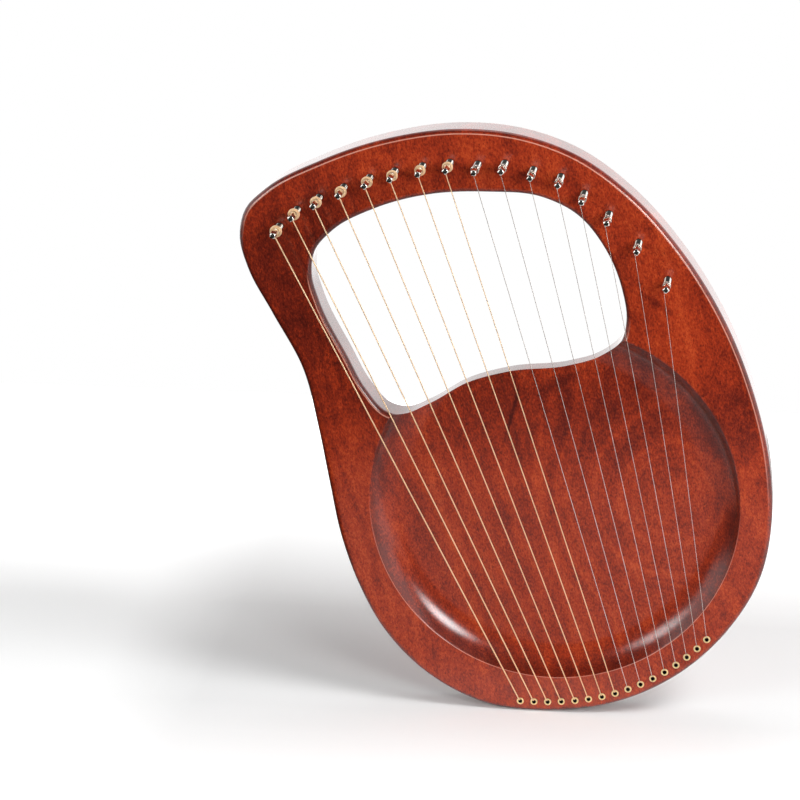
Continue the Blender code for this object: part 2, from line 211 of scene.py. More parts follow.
def apply_modifier(piece: Piece, kind: str, **settings: object) -> None:
    """Give a piece one modifier with its settings and apply it at once."""
    hold(piece)
    added = piece.modifiers.new(kind.title(), kind)
    for key, value in settings.items():
        setattr(added, key, value)
    bpy.context.view_layer.update()
    bpy.ops.object.modifier_apply(modifier=added.name)


def cut_away(piece: Piece, cutters: Sequence[Piece], crossing: bool = False) -> None:
    """Join several cutters, cut them out of a piece at once and clear them away.

    Args:
        piece: The piece that is cut.
        cutters: The shapes to take out of it.
        crossing: Whether the cutters run through each other.
    """
    hold(cutters[0])
    for cutter in cutters:
        cutter.select_set(True)
    bpy.ops.object.join()
    apply_modifier(piece, "BOOLEAN", operation="DIFFERENCE", solver="EXACT", object=cutters[0],
                   use_self=crossing)
    bpy.data.meshes.remove(cutters[0].data)


def soften(piece: Piece, degrees: float) -> None:
    """Shade a piece smooth except along edges sharper than an angle."""
    hold(piece)
    bpy.ops.object.shade_smooth_by_angle(angle=math.radians(degrees))


def coat(piece: Piece, outer: Finish, inner: Finish, rule: Callable) -> None:
    """Give a piece one finish, and another one on the faces that a rule wants."""
    piece.data.materials.append(outer)
    piece.data.materials.append(inner)
    with shaping(piece):
        pick(piece, Element.FACE, rule)
        piece.active_material_index = 1
        bpy.ops.object.material_slot_assign()


def turned(name: str, profile: Profile, steps: int, centre: Place = (0.0, 0.0),
           closed: bool = False) -> Piece:
    """Turn a profile of radius and y about the Y axis, as on a lathe.

    Args:
        name: Name of the piece.
        profile: Radius and y of each point, in order.
        steps: How many steps make the round.
        centre: Where the axis meets the face, drawn in millimetres.
        closed: Whether the last point is joined to the first.

    Returns:
        The turned piece.
    """
    axis = on_face(centre, 0.0)
    leave_all()
    bpy.ops.mesh.primitive_plane_add(size=DRAWN_UNIT, location=axis)
    piece = started(name)
    points = [axis + Vector((radius, y, 0.0)) for radius, y in profile]
    if closed:
        points.append(points[0])
    with shaping(piece):
        pick_all()
        bpy.ops.mesh.merge(type="CENTER")
        bpy.ops.transform.translate(value=points[0] - axis)
        for here, there in zip(points, points[1:]):
            bpy.ops.mesh.extrude_vertices_move(TRANSFORM_OT_translate={"value": there - here})
        pick_all()
        bpy.ops.mesh.spin(steps=steps, angle=2 * math.pi, center=axis, axis=(0.0, 1.0, 0.0))
        pick_all()
        bpy.ops.mesh.remove_doubles(threshold=2e-6)
        bpy.ops.mesh.normals_make_consistent(inside=False)
    return piece


def copied(pattern: Piece, name: str, move: Matrix) -> Piece:
    """Copy a piece, mesh and all, with a move put into the copy's mesh."""
    copy = pattern.copy()
    copy.data = pattern.data.copy()
    copy.name = name
    copy.data.name = name
    copy.data.transform(move)
    bpy.context.collection.objects.link(copy)
    return copy


def seat(piece: Piece, body: str, slot: str, *nodes: str) -> None:
    """Let a finished piece ride on its body and stand for its nodes."""
    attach(piece, body)
    if nodes:
        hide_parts(*nodes)
    log.info("%s rides on %s with %d faces", piece.name, body, len(piece.data.polygons))


# Flat curves


def run_along(points: Sequence) -> np.ndarray:
    """Return how far along a line each of its points lies."""
    steps = np.linalg.norm(np.diff(points, axis=0), axis=1)
    return np.concatenate([[0.0], np.cumsum(steps)])


def smooth_loop(places: Sequence[Point], steps: int) -> np.ndarray:
    """Closed smooth curve through places.

    Args:
        places: Places that the curve goes through.
        steps: How many points it is given back as.

    Returns:
        Evenly spaced points along the curve, one in a row.
    """
    knots = np.array(places, float)
    ahead = np.roll(knots, -1, axis=0) - knots
    chords = np.linalg.norm(ahead, axis=1)
    back = np.roll(ahead, 1, axis=0) / np.roll(chords, 1)[:, None]
    share = (chords / (chords + np.roll(chords, 1)))[:, None]
    slopes = back * share + ahead / chords[:, None] * (1 - share)
    t = np.linspace(0.0, 1.0, CURVE_SAMPLES, endpoint=False)[:, None]
    dense = []
    for i, chord in enumerate(chords):
        j = (i + 1) % len(knots)
        dense.append(
            (2 * t**3 - 3 * t**2 + 1) * knots[i]
            + (t**3 - 2 * t**2 + t) * chord * slopes[i]
            + (3 * t**2 - 2 * t**3) * knots[j]
            + (t**3 - t**2) * chord * slopes[j]
        )
    curve = np.vstack(dense + [knots[:1]])
    run = run_along(curve)
    stops = np.linspace(0.0, run[-1], steps, endpoint=False)
    return np.column_stack([np.interp(stops, run, curve[:, k]) for k in (0, 1)])


def arc(centre: Point, radius: Point, start: float, end: float, steps: int) -> list[Point]:
    """Points of an elliptical arc in a turning profile.

    Args:
        centre: Middle of the arc, as radius and y.
        radius: Its half widths along radius and y.
        start: First angle in degrees, 0 along radius and 90 along y.
        end: Last angle in degrees.
        steps: How many steps lie between.

    Returns:
        The points, both ends among them.
    """
    points = []
    for i in range(steps + 1):
        a = math.radians(start + (end - start) * i / steps)
        points.append((centre[0] + radius[0] * math.cos(a), centre[1] + radius[1] * math.sin(a)))
    return points


def stepped(start: float, *steps: Point) -> list[Point]:
    """Profile of a stepped drill from a start depth, each step a radius and its depth."""
    points = [(0.0, start)]
    for radius, depth in steps:
        points += [(radius, points[-1][1]), (radius, depth)]
    return points + [(0.0, points[-1][1])]


def board(name: str, loops: Sequence[np.ndarray], front: float, back: float) -> Piece:
    """Flat board between an outer loop and an inner one.

    Args:
        name: Name of the piece.
        loops: Outer and inner loop, as points drawn in millimetres.
        front: Depth of its front.
        back: Depth of its back.

    Returns:
        The board with sharp edges.
    """
    leave_all()
    bpy.ops.mesh.primitive_circle_add(vertices=len(loops[0]), radius=0.2)
    piece = started(name)
    with shaping(piece):
        bpy.ops.mesh.primitive_circle_add(vertices=len(loops[1]), radius=0.1)
    places = [on_face(p, front) for loop in loops for p in loop]
    piece.data.vertices.foreach_set("co", np.array(places).ravel())
    with shaping(piece):
        pick_all()
        bpy.ops.mesh.fill(use_beauty=True)
        pick_all()
        bpy.ops.mesh.extrude_region_move(
            TRANSFORM_OT_translate={"value": (0.0, back - front, 0.0)}
        )
        pick_all()
        bpy.ops.mesh.normals_make_consistent(inside=False)
    return piece


def round_rims(piece: Piece, depth: float, radius: float, segments: int) -> None:
    """Round over the rims of a board where it meets one of its flat sides.

    Args:
        piece: The board.
        depth: Depth of the flat side.
        radius: Radius of the round.
        segments: How many faces make the round.
    """
    def level(vert: bmesh.types.BMVert) -> bool:
        return abs(vert.co.y - depth) < NEAR

    with shaping(piece):
        pick(piece, Element.FACE, lambda face: all(level(v) for v in face.verts))
        bpy.ops.mesh.inset(thickness=radius * 1.5, use_even_offset=True)
        pick(piece, Element.EDGE, lambda edge: all(level(v) for v in edge.verts)
             and any(abs(face.normal.y) < 0.5 for face in edge.link_faces))
        bpy.ops.mesh.bevel(offset=radius, offset_type="OFFSET", segments=segments,
                           profile=0.5, affect="EDGES", clamp_overlap=False)


# Finishes


def tone(code: str) -> Colour:
    """Turn an sRGB hex colour into the linear one that a shader takes."""
    parts = [int(code[i:i + 2], 16) / 255 for i in (1, 3, 5)]
    return (*[p / 12.92 if p <= 0.04045 else ((p + 0.055) / 1.055) ** 2.4 for p in parts], 1.0)


def feed(tree: Tree, node: Node, links: dict) -> None:
    """Link sockets to the inputs of a node, by the names or numbers of the inputs."""
    for key, source in links.items():
        tree.links.new(source, node.inputs[key])


def put(tree: Tree, kind: str, settings: dict | None = None, links: dict | None = None) -> Node:
    """Add one node with its settings and links.

    Args:
        tree: The nodes of a material, a lamp or the world.
        kind: Blender's name of the node, without its ShaderNode.
        settings: Socket values by socket name or number, and properties by name.
        links: Sockets that feed this node, by the name or number of its own socket.

    Returns:
        The node.
    """
    made = tree.nodes.new(f"ShaderNode{kind}")
    for key, value in (settings or {}).items():
        if isinstance(key, int) or key in made.inputs:
            made.inputs[key].default_value = value
        else:
            setattr(made, key, value)
    feed(tree, made, links or {})
    return made


def reckon(tree: Tree, operation: str, *terms: object) -> Socket:
    """Add a maths node whose terms are sockets or plain numbers."""
    linked = {i: term for i, term in enumerate(terms) if isinstance(term, Socket)}
    plain = {i: term for i, term in enumerate(terms) if i not in linked}
    return put(tree, "Math", {"operation": operation, **plain}, linked).outputs[0]


def mapped(tree: Tree, value: Socket, ends: Point, onto: Point = (0.0, 1.0),
           ease: str = "LINEAR") -> Socket:
    """Map a value from one pair of ends onto another, and hold it there beyond them."""
    return put(tree, "MapRange", {
        "interpolation_type": ease, "From Min": ends[0], "From Max": ends[1],
        "To Min": onto[0], "To Max": onto[1],
    }, {"Value": value}).outputs[0]


def split(tree: Tree, vector: Socket) -> Sequence[Socket]:
    """Return the X, Y and Z of a vector."""
    return put(tree, "SeparateXYZ", {}, {0: vector}).outputs


def distance(tree: Tree, place: Socket, point: Place = (0.0, 0.0, 0.0)) -> Socket:
    """Return how far a place is from a point."""
    return put(tree, "VectorMath", {"operation": "DISTANCE", 1: point},
               {0: place}).outputs["Value"]


def ramped(tree: Tree, value: Socket, stops: Sequence[tuple[float, str]]) -> Socket:
    """Turn a value into a colour between stops of position and sRGB hex colour."""
    made = put(tree, "ValToRGB", {}, {0: value})
    ramp = made.color_ramp.elements
    ramp[0].position, ramp[1].position = stops[0][0], stops[-1][0]
    for position, _ in stops[1:-1]:
        ramp.new(position)
    for element, (_, code) in zip(ramp, stops):
        element.color = tone(code)
    return made.outputs[0]


def blended(tree: Tree, share: Socket, under: Socket, over: str) -> Socket:
    """Lay an sRGB hex colour over another colour by a share."""
    return put(tree, "Mix", {"data_type": "RGBA", 7: tone(over)}, {0: share, 6: under}).outputs[2]


def bumped(tree: Tree, height: Socket, strength: float, depth: float,
           invert: bool = False) -> Socket:
    """Return the normal that a height gives, with its full depth in metres."""
    return put(tree, "Bump", {"Strength": strength, "Distance": depth, "invert": invert},
               {"Height": height}).outputs[0]


def in_mm(tree: Tree, lean: float = 0.0) -> Socket:
    """Return the place on the piece in millimetres, with Z turned along a leaning grain."""
    spot = put(tree, "TexCoord").outputs["Object"]
    return put(tree, "Mapping", {
        "Rotation": (0.0, math.radians(lean), 0.0), "Scale": [1 / DRAWN_UNIT] * 3,
    }, {"Vector": spot}).outputs[0]


def noise(tree: Tree, place: Socket, size: Size, detail: float,
          roughness: float = 0.5) -> Socket:
    """Return noise whose spots are so many millimetres across, deep and along.

    Args:
        tree: The material's nodes.
        place: Place in millimetres.
        size: Size of the spots in millimetres.
        detail: How many finer octaves it has.
        roughness: How strong those are.

    Returns:
        Socket with the noise, from 0 to 1.
    """
    scaled = put(tree, "VectorMath", {"operation": "MULTIPLY", 1: [1 / s for s in size]},
                 {0: place}).outputs[0]
    return put(tree, "TexNoise", {"Scale": 1.0, "Detail": detail, "Roughness": roughness},
               {"Vector": scaled}).outputs[0]


def bare_finish(name: str, settings: dict) -> tuple[Finish, Tree, Node]:
    """Start a finish from a Principled shader.

    Args:
        name: Name of the finish.
        settings: Values of the shader's sockets.

    Returns:
        The material, its nodes and its shader.
    """
    made = bpy.data.materials.new(name)
    made.use_nodes = True
    shader = made.node_tree.nodes["Principled BSDF"]
    for key, value in settings.items():
        shader.inputs[key].default_value = value
    return made, made.node_tree, shader


@dataclass(frozen=True)
class Mahogany:
    """Stained mahogany, sawn on the slant, sanded, and lacquered or left bare.

    The eye sees fine dark pores that run with the grain, slow lighter and darker
    figure, growth rings that close into an eye in the dish, and a wet clear coat.
    """

    name: str
    heart: str = "#46120a"  # where the stain sinks in most
    dark: str = "#6e1f10"
    middle: str = "#a03316"
    light: str = "#c04a22"
    stain_stops: tuple[float, ...] = (0.26, 0.40, 0.53, 0.66)  # of tone, for the four stains
    base_tone: float = -0.035
    pore: str = "#42160b"
    pore_size: Size = (0.6, 0.6, 1.9)  # mm, drawn coarse enough to show
    pore_edge: Point = (0.56, 0.72)  # of noise, from wood to open pore
    pore_fill: float = 0.7  # how far an open pore hides the stain
    edge_highlight: str = "#e6a892"  # painted highlight along the upper rounded edges of the face, in a pale tone
    # how strongly the painted edge highlight shows
    edge_highlight_share: float = 0.7
    # Where the painted edge highlight lies, between the ends of: level, level, upward, depth in mm.
    edge_highlight_ends: tuple[Point, ...] = ((0.998, 0.98), (0.93, 0.965), (0.0, 0.08), (2.2, 1.2))
    roughness: float = 0.42
    under_coat: float = 0.1  # lacquer soaks in, so the wood itself hardly shines
    coat: float = 1.0
    coat_roughness: float = 0.15
    coat_peel: float = 5.0  # mm, size of the lacquer's faint waves
    coat_dip: float = 0.25  # how far the lacquer sinks over an open pore
    lean: float = 13.0  # degrees from upright, of the grain
    eye: Point = (103.0, 172.0)  # mm, middle of the closed rings
    eye_reach: float = 110.4  # mm, as far as the rings bend round it
    drift_size: Size = (70.0, 60.0, 210.0)
    drift: float = 60.0  # mm that the rings wander
    ring_size: Size = (12.0, 1.0, 900.0)  # mm from ring to ring, and along them
    ring_share: float = 0.27
    # Clouds of tone: size across, deep and along in mm, octaves and share.
    clouds: tuple[tuple[Size, float, float], ...] = (
        ((19.0, 17.0, 34.0), 3.0, 0.22), ((6.0, 6.0, 10.0), 3.0, 0.18),
        ((1.1, 1.1, 2.0), 2.0, 0.46),
    )
    cloud_roughness: float = 0.6
    wall_shade_and_end_grain: float = 0.14  # how much darker surfaces that turn from the front are drawn: painted shade on walls, deeper stain on end grain
    flat_level: float = 0.75  # a surface that faces front less than this is drawn darker
    # Dark streaks and broad darker patches: middle in mm, lean in degrees, half width and length in
    # mm, depth of tone.
    streaks: tuple[tuple[float, ...], ...] = (
        # The first three are broad patches, darker over the left arm, along the lower edge of the
        # opening and at the right edge.
        (-150.0, 320.0, 0.0, 130.0, 150.0, 0.15), (30.0, 245.0, 0.0, 210.0, 70.0, 0.10),
        (185.0, 250.0, 0.0, 60.0, 90.0, 0.07), (4.0, 237.0, 14.0, 2.4, 34.0, 0.20),
        (112.0, 328.0, -58.0, 5.0, 20.0, 0.13), (18.0, 420.0, -68.0, 4.0, 24.0, 0.10),
        (40.0, 262.0, 62.0, 7.0, 30.0, 0.09),
    )

    def make(self) -> Finish:
        """Return the material."""
        made, tree, shader = bare_finish(self.name, {
            "Roughness": self.roughness, "Specular IOR Level": self.under_coat,
            "Coat Weight": self.coat, "Coat Roughness": self.coat_roughness, "Coat IOR": 1.52,
        })
        grain = in_mm(tree, self.lean)
        facing = split(tree, put(tree, "TexCoord").outputs["Normal"])
        level = reckon(tree, "ABSOLUTE", facing[1])
        # Darker where the surface turns from the front: painted shade on the dish walls and edges,
        # and deeper stain on end grain.
        shade = reckon(tree, "ADD", self.streaked(tree), mapped(
            tree, level, (self.flat_level, 1.0), (-self.wall_shade_and_end_grain, 0.0)))
        shade = reckon(tree, "MULTIPLY_ADD", self.rings(tree, grain), self.ring_share, shade)
        for size, detail, share in self.clouds:
            cloud = noise(tree, grain, size, detail, self.cloud_roughness)
            shade = reckon(tree, "MULTIPLY_ADD", cloud, share, shade)
        stains = zip(self.stain_stops, (self.heart, self.dark, self.middle, self.light))
        colour = ramped(tree, shade, list(stains))
        pores = mapped(tree, noise(tree, grain, self.pore_size, 1.0, self.cloud_roughness),
                       self.pore_edge, (0.0, self.pore_fill))
        colour = blended(tree, pores, colour, self.pore)
        depth = split(tree, grain)[1]
        # Painted highlight: a pale tone on the upper rounded edges, where light catches them.
        colour = blended(tree, self.edge_highlight_mask(tree, level, facing[2], depth), colour, self.edge_highlight)
        peel = noise(tree, grain, [self.coat_peel] * 3, 1.0, self.cloud_roughness)
        skin = reckon(tree, "MULTIPLY_ADD", pores, -self.coat_dip, peel)
        feed(tree, shader, {
            "Base Color": colour,
            "Normal": bumped(tree, pores, strength=0.35, depth=0.0001, invert=True),
            "Coat Normal": bumped(tree, skin, strength=0.12, depth=0.00012),
        })
        return made

    def streaked(self, tree: Tree) -> Socket:
        """Return the base tone with the dark streaks and broad darker patches taken from it."""
        spot = put(tree, "TexCoord").outputs["Object"]
        shade = self.base_tone
        for x, z, lean, wide, high, depth in self.streaks:
            place = put(tree, "Mapping", {
                "vector_type": "TEXTURE", "Location": on_face((x, z), 0.0),
                "Rotation": (0.0, math.radians(lean), 0.0),
                "Scale": (wide * DRAWN_UNIT, 1.0, high * DRAWN_UNIT),
            }, {"Vector": spot}).outputs[0]
            streak = mapped(tree, distance(tree, place), (0.0, 1.0), (-depth, 0.0), "SMOOTHSTEP")
            shade = reckon(tree, "ADD", shade, streak)
        return shade

    def rings(self, tree: Tree, grain: Socket) -> Socket:
        """Return the growth rings, which run with the grain and close round the eye."""
        turn = Matrix.Rotation(math.radians(self.lean), 3, "Y")
        eye = turn @ Vector((self.eye[0], 0.0, self.eye[1]))
        flat = put(tree, "VectorMath", {"operation": "MULTIPLY", 1: (1.0, 0.0, 1.0)},
                   {0: grain}).outputs[0]
        bent = mapped(tree, distance(tree, flat, eye), (0.0, self.eye_reach),
                      (self.eye_reach, 0.0), "SMOOTHERSTEP")
        axes = split(tree, grain)
        drift = noise(tree, grain, self.drift_size, 2.0, self.cloud_roughness)
        across = reckon(tree, "MULTIPLY_ADD", drift, self.drift, reckon(tree, "ADD", axes[0], bent))
        place = put(tree, "CombineXYZ", {}, {"X": across, "Z": axes[2]}).outputs[0]
        return noise(tree, place, self.ring_size, 2.0, self.cloud_roughness)

    def edge_highlight_mask(self, tree: Tree, level: Socket, up: Socket, depth: Socket) -> Socket:
        """Return the share of painted highlight where a rounded edge leaves the face, on upper
        edges.

        Args:
            tree: The material's nodes.
            level: How squarely the surface faces front or back, 0 to 1.
            up: The upward part of its normal.
            depth: Millimetres of depth, which is 0.5 at the face.

        Returns:
            Socket that is highest where the painted highlight is strongest.
        """
        edge_highlight_share = self.edge_highlight_share
        for source, ends in zip((level, level, up, depth), self.edge_highlight_ends):
            edge_highlight_share = reckon(tree, "MULTIPLY", mapped(tree, source, ends), edge_highlight_share)
        return edge_highlight_share


@dataclass(frozen=True)
class Spruce:
    """Planed bare spruce: pale straw with narrow darker rings, straight and dull."""

    name: str = "spruce_planed"
    pale: str = "#e3c48e"
    ring: str = "#b98a4e"
    ring_size: Size = (144.0, 16.0 / 3.0, 1.6)  # mm along, deep and from ring to ring

    def make(self) -> Finish:
        """Return the material."""
        made, tree, shader = bare_finish(self.name, {"Roughness": 0.62})
        rings = noise(tree, in_mm(tree), self.ring_size, 3.0)
        colour = ramped(tree, rings, ((0.38, self.pale), (0.64, self.ring)))
        relief = bumped(tree, rings, strength=0.3, depth=0.0001)
        feed(tree, shader, {"Base Color": colour, "Normal": relief})
        return made


@dataclass(frozen=True)
class WorkedMetal:
    """Metal with the faint uneven gloss that handling, drawing or plating leaves."""

    name: str
    colour: str
    roughness: float
    spread: float = 0.08  # how far the roughness wanders
    patch: float = 1.4  # mm, size of the uneven patches

    def make(self) -> Finish:
        """Return the material."""
        made, tree, shader = bare_finish(self.name, {
            "Base Color": tone(self.colour), "Metallic": 1.0, "Roughness": self.roughness,
        })
        cloud = noise(tree, in_mm(tree), [self.patch] * 3, 4.0)
        uneven = mapped(tree, cloud, (0.0, 1.0),
                        (self.roughness - self.spread, self.roughness + self.spread))
        feed(tree, shader, {"Roughness": uneven, "Normal": self.relief(tree, cloud)})
        return made

    def relief(self, tree: Tree, cloud: Socket) -> Socket:
        """Return the normal of a faintly wavy surface."""
        return bumped(tree, cloud, strength=0.1, depth=0.00003)


@dataclass(frozen=True)
class WireWrap(WorkedMetal):
    """Fine bronze wire wrapped close round a core: even ridges along the string."""

    pitch: float = 0.45  # mm from one wrap to the next, drawn coarse
    one_wave: float = 2 * math.pi / 20  # scale at which the wave node repeats once a unit

    def relief(self, tree: Tree, cloud: Socket) -> Socket:
        """Return the normal of a wire that winds as a helix over the string's own UV map."""
        spot = put(tree, "TexCoord").outputs["UV"]
        turns = 1 / (self.pitch * DRAWN_UNIT)
        place = put(tree, "Mapping", {"Scale": (1.0, turns, 0.0)}, {"Vector": spot}).outputs[0]
        wave = put(tree, "TexWave", {"bands_direction": "DIAGONAL", "Scale": self.one_wave},
                   {"Vector": place}).outputs["Fac"]
        return bumped(tree, wave, strength=0.03, depth=0.00008)


# Pieces of the harp


@dataclass
class CarvedBody:
    """The board with its opening, its dish, its sound chamber and its drilled holes."""

    outline_steps: int = 288
    opening_steps: int = 180
    front_round: float = 0.004
    back_round: float = 0.003
    round_segments: tuple[int, int] = (8, 5)  # front and back
    dish_centre: Point = (37.0, 169.0)
    dish_radius: float = 0.140
    dish_depth: float = 0.013
    dish_cove: float = 0.028
    dish_lip: float = 0.0016  # radius that softens the rim of the dish
    soundboard: float = 0.0045
    chamber_radius: float = 0.108
    plate_radius: float = 0.1143
    ledge_y: float = BACK_Y - 0.0043
    pin_hole: Point = (0.0028, 0.0173)  # radius and depth
    eyelet_seat: Point = (0.0021, 0.0053)
    string_bore: float = 0.0013
    ball_pocket: Point = (0.0023, 0.006)
    overcut: float = 0.002  # how far a cutter stands past the face it cuts
    run_out_round: float = 0.0014  # where the dish runs out into the opening
    floor_margin: float = 0.0005  # of the flat floor, kept clear of that round
    upright: float = 0.1  # a face whose normal leans forward less than this is a wall
    shading_angle: float = 32.0  # degrees; sharper edges keep their crease

    def build(self, eyelets: Sequence[Point], lacquered: Finish, bare: Finish) -> None:
        """Saw, round over, carve, drill and finish the body.

        Args:
            eyelets: Places of the eyelets.
            lacquered: Finish of all that shows.
            bare: Finish of the chamber.
        """
        loops = [smooth_loop(OUTLINE, self.outline_steps), smooth_loop(OPENING, self.opening_steps)]
        body = board("harp_body", loops, FACE_Y, BACK_Y)
        front_segments, back_segments = self.round_segments
        round_rims(body, FACE_Y, self.front_round, front_segments)
        round_rims(body, BACK_Y, self.back_round, back_segments)
        cutters = [self.dish(), self.chamber()]
        cutters += [self.pin_drill(place) for place in PIN_PLACES]
        cutters += [self.string_drill(place) for place in eyelets]
        cut_away(body, cutters)
        self.ease_dish_edge(body)
        self.dress(body, lacquered, bare)
        seat(body, FRAME_BODY, "lacquered_mahogany", "body")

    @property
    def above(self) -> float:
        """Depth at which a cutter starts, just in front of the face."""
        return FACE_Y - self.overcut

    @property
    def chamber_top(self) -> float:
        """Depth of the soundboard's inner side."""
        return FACE_Y + self.dish_depth + self.soundboard

    def dish(self) -> Piece:
        """Cutter of the round dish: softened rim, hollow wall and flat floor."""
        hollow = (self.dish_cove**2 + self.dish_depth**2) / (2 * self.dish_depth)
        steepest = math.asin(self.dish_cove / hollow)
        rim = self.dish_radius + self.dish_lip * math.tan(steepest / 2)
        floor_y = FACE_Y + self.dish_depth
        profile = [(0.0, self.above), (rim, self.above)]
        profile += arc((rim, FACE_Y + self.dish_lip), (self.dish_lip, self.dish_lip),
                       start=270, end=270 - math.degrees(steepest), steps=5)
        wall = (self.dish_radius - self.dish_cove, floor_y - hollow)
        profile += arc(wall, (hollow, hollow), start=90 - math.degrees(steepest), end=90,
                       steps=22)[1:]
        profile.append((0.0, floor_y))
        return turned("dish_cutter", profile, steps=180, centre=self.dish_centre)

    def chamber(self) -> Piece:
        """Cutter of the sound chamber and of the ledge for the back plate."""
        profile = stepped(self.chamber_top, (self.chamber_radius, self.ledge_y),
                          (self.plate_radius, BACK_Y + self.overcut))
        return turned("chamber_cutter", profile, steps=120, centre=CHAMBER_CENTRE)

    def pin_drill(self, place: Point) -> Piece:
        """Drill for one tuning pin."""
        radius, depth = self.pin_hole
        profile = stepped(self.above, (radius, FACE_Y + depth))
        return turned("pin_drill", profile, steps=28, centre=place)

    def string_drill(self, place: Point) -> Piece:
        """Stepped drill for one string: eyelet seat, bore and pocket for the ball end."""
        seat_radius, seat_depth = self.eyelet_seat
        pocket_radius, pocket_depth = self.ball_pocket
        profile = stepped(self.above, (seat_radius, FACE_Y + seat_depth),
                          (self.string_bore, BACK_Y - pocket_depth),
                          (pocket_radius, BACK_Y + self.overcut))
        return turned("string_drill", profile, steps=20, centre=place)

    def ease_dish_edge(self, body: Piece) -> None:
        """Round the edge where the floor of the dish runs out into the opening."""
        middle = on_face(self.dish_centre)
        floor = FACE_Y + self.dish_depth

        def runs_out(edge: bmesh.types.BMEdge) -> bool:
            if any(abs(v.co.y - floor) > NEAR for v in edge.verts):
                return False
            centre = (edge.verts[0].co + edge.verts[1].co) / 2
            radius = math.hypot(centre.x - middle.x, centre.z - middle.z)
            walls = sorted(abs(face.normal.y) for face in edge.link_faces)
            on_floor = radius < self.dish_radius - self.dish_cove - self.floor_margin
            corner = len(walls) == 2 and walls[0] < self.upright < 1 - self.upright < walls[1]
            return on_floor and corner

        with shaping(body):
            found = pick(body, Element.EDGE, runs_out)
            if found:
                bpy.ops.mesh.bevel(offset=self.run_out_round, offset_type="OFFSET", segments=4,
                                   profile=0.5, affect="EDGES", clamp_overlap=True)
        log.info("eased %d edges between the dish and the opening", found)

    def dress(self, body: Piece, lacquered: Finish, bare: Finish) -> None:
        """Lacquer the body, and leave the chamber bare."""
        middle = on_face(CHAMBER_CENTRE)
        margin = 10 * NEAR
        front, back = self.chamber_top - margin, BACK_Y - margin

        def inside(face: bmesh.types.BMFace) -> bool:
            spot = face.calc_center_median()
            reach = math.hypot(spot.x - middle.x, spot.z - middle.z)
            return reach < self.plate_radius + margin and front < spot.y < back

        coat(body, lacquered, bare, inside)
        soften(body, self.shading_angle)
        apply_modifier(body, "WEIGHTED_NORMAL", keep_sharp=True)


@dataclass
class BackPlate:
    """Round plate that closes the sound chamber, with its sound hole and two braces."""

    radius: float = 0.114
    thickness: float = 0.004
    hole_radius: float = 0.022
    ring_steps: tuple[int, int] = (160, 80)  # round the plate and round its hole
    edge_round: float = 0.0008
    brace_offset: float = 0.052
    brace_width: float = 0.008
    brace_height: float = 0.0055
    brace_reach: float = 0.102  # from the middle of the plate to a brace's corner
    brace_taper: float = 0.022  # length over which an end is thinned
    brace_thinning: float = 2 / 3  # share of its height that an end loses
    brace_round: float = 0.0016
    glue_gap: float = 0.0003

    def build(self, wood: Finish, spruce: Finish) -> None:
        """Turn the plate and glue its braces on."""
        loops = []
        for radius, steps in zip((self.radius, self.hole_radius), self.ring_steps):
            angles = np.arange(steps) * 2 * math.pi / steps
            ring = np.column_stack([np.cos(angles), np.sin(angles)]) * radius / DRAWN_UNIT
            loops.append(ring + np.array(CHAMBER_CENTRE))
        front = BACK_Y - self.thickness
        plate = board("back_plate_panel", loops, front, BACK_Y)
        round_rims(plate, BACK_Y, self.edge_round, segments=4)
        plate.data.materials.append(wood)
        soften(plate, degrees=32)
        apply_modifier(plate, "WEIGHTED_NORMAL", keep_sharp=True)
        seat(plate, FRAME_BODY, "back_mahogany", "back_plate")
        for side, offset in (("upper", self.brace_offset), ("lower", -self.brace_offset)):
            brace = self.brace(f"spruce_brace_{side}", offset, front - self.glue_gap)
            brace.data.materials.append(spruce)
            seat(brace, FRAME_BODY, "spruce", f"back_brace_{side}")

    def brace(self, name: str, offset: float, glue_y: float) -> Piece:
        """Plane one brace: rounded along its back and thinned to its ends.

        Args:
            name: Name of the piece.
            offset: Its height above the middle of the plate.
            glue_y: Depth of the side that is glued down.

        Returns:
            The brace.
        """
        half = math.sqrt(self.brace_reach**2 - (abs(offset) + self.brace_width / 2) ** 2)
        middle = on_face(CHAMBER_CENTRE, glue_y - self.brace_height / 2) + Vector((0, 0, offset))
        piece = block(name, middle, (2 * half, self.brace_height, self.brace_width))
        top = glue_y - self.brace_height
        with shaping(piece):
            for side in (-1, 1):
                pick_all()
                thinned = Vector((side * (half - self.brace_taper), 0.0, 0.0))
                bpy.ops.mesh.bisect(plane_co=middle + thinned, plane_no=(1.0, 0.0, 0.0))
            pick(piece, Element.POINT, lambda v: abs(v.co.x - middle.x) > half - NEAR
                 and abs(v.co.y - top) < NEAR)
            bpy.ops.transform.translate(value=(0.0, self.brace_height * self.brace_thinning, 0.0))
            pick(piece, Element.EDGE, lambda e: abs(e.verts[0].co.z - e.verts[1].co.z) < NEAR
                 and all(v.co.y < glue_y - 10 * NEAR for v in e.verts)
                 and abs(e.verts[0].co.x - e.verts[1].co.x) > 10 * NEAR)
            bpy.ops.mesh.bevel(offset=self.brace_round, segments=5, profile=0.5, affect="EDGES")
        soften(piece, degrees=35)
        return piece


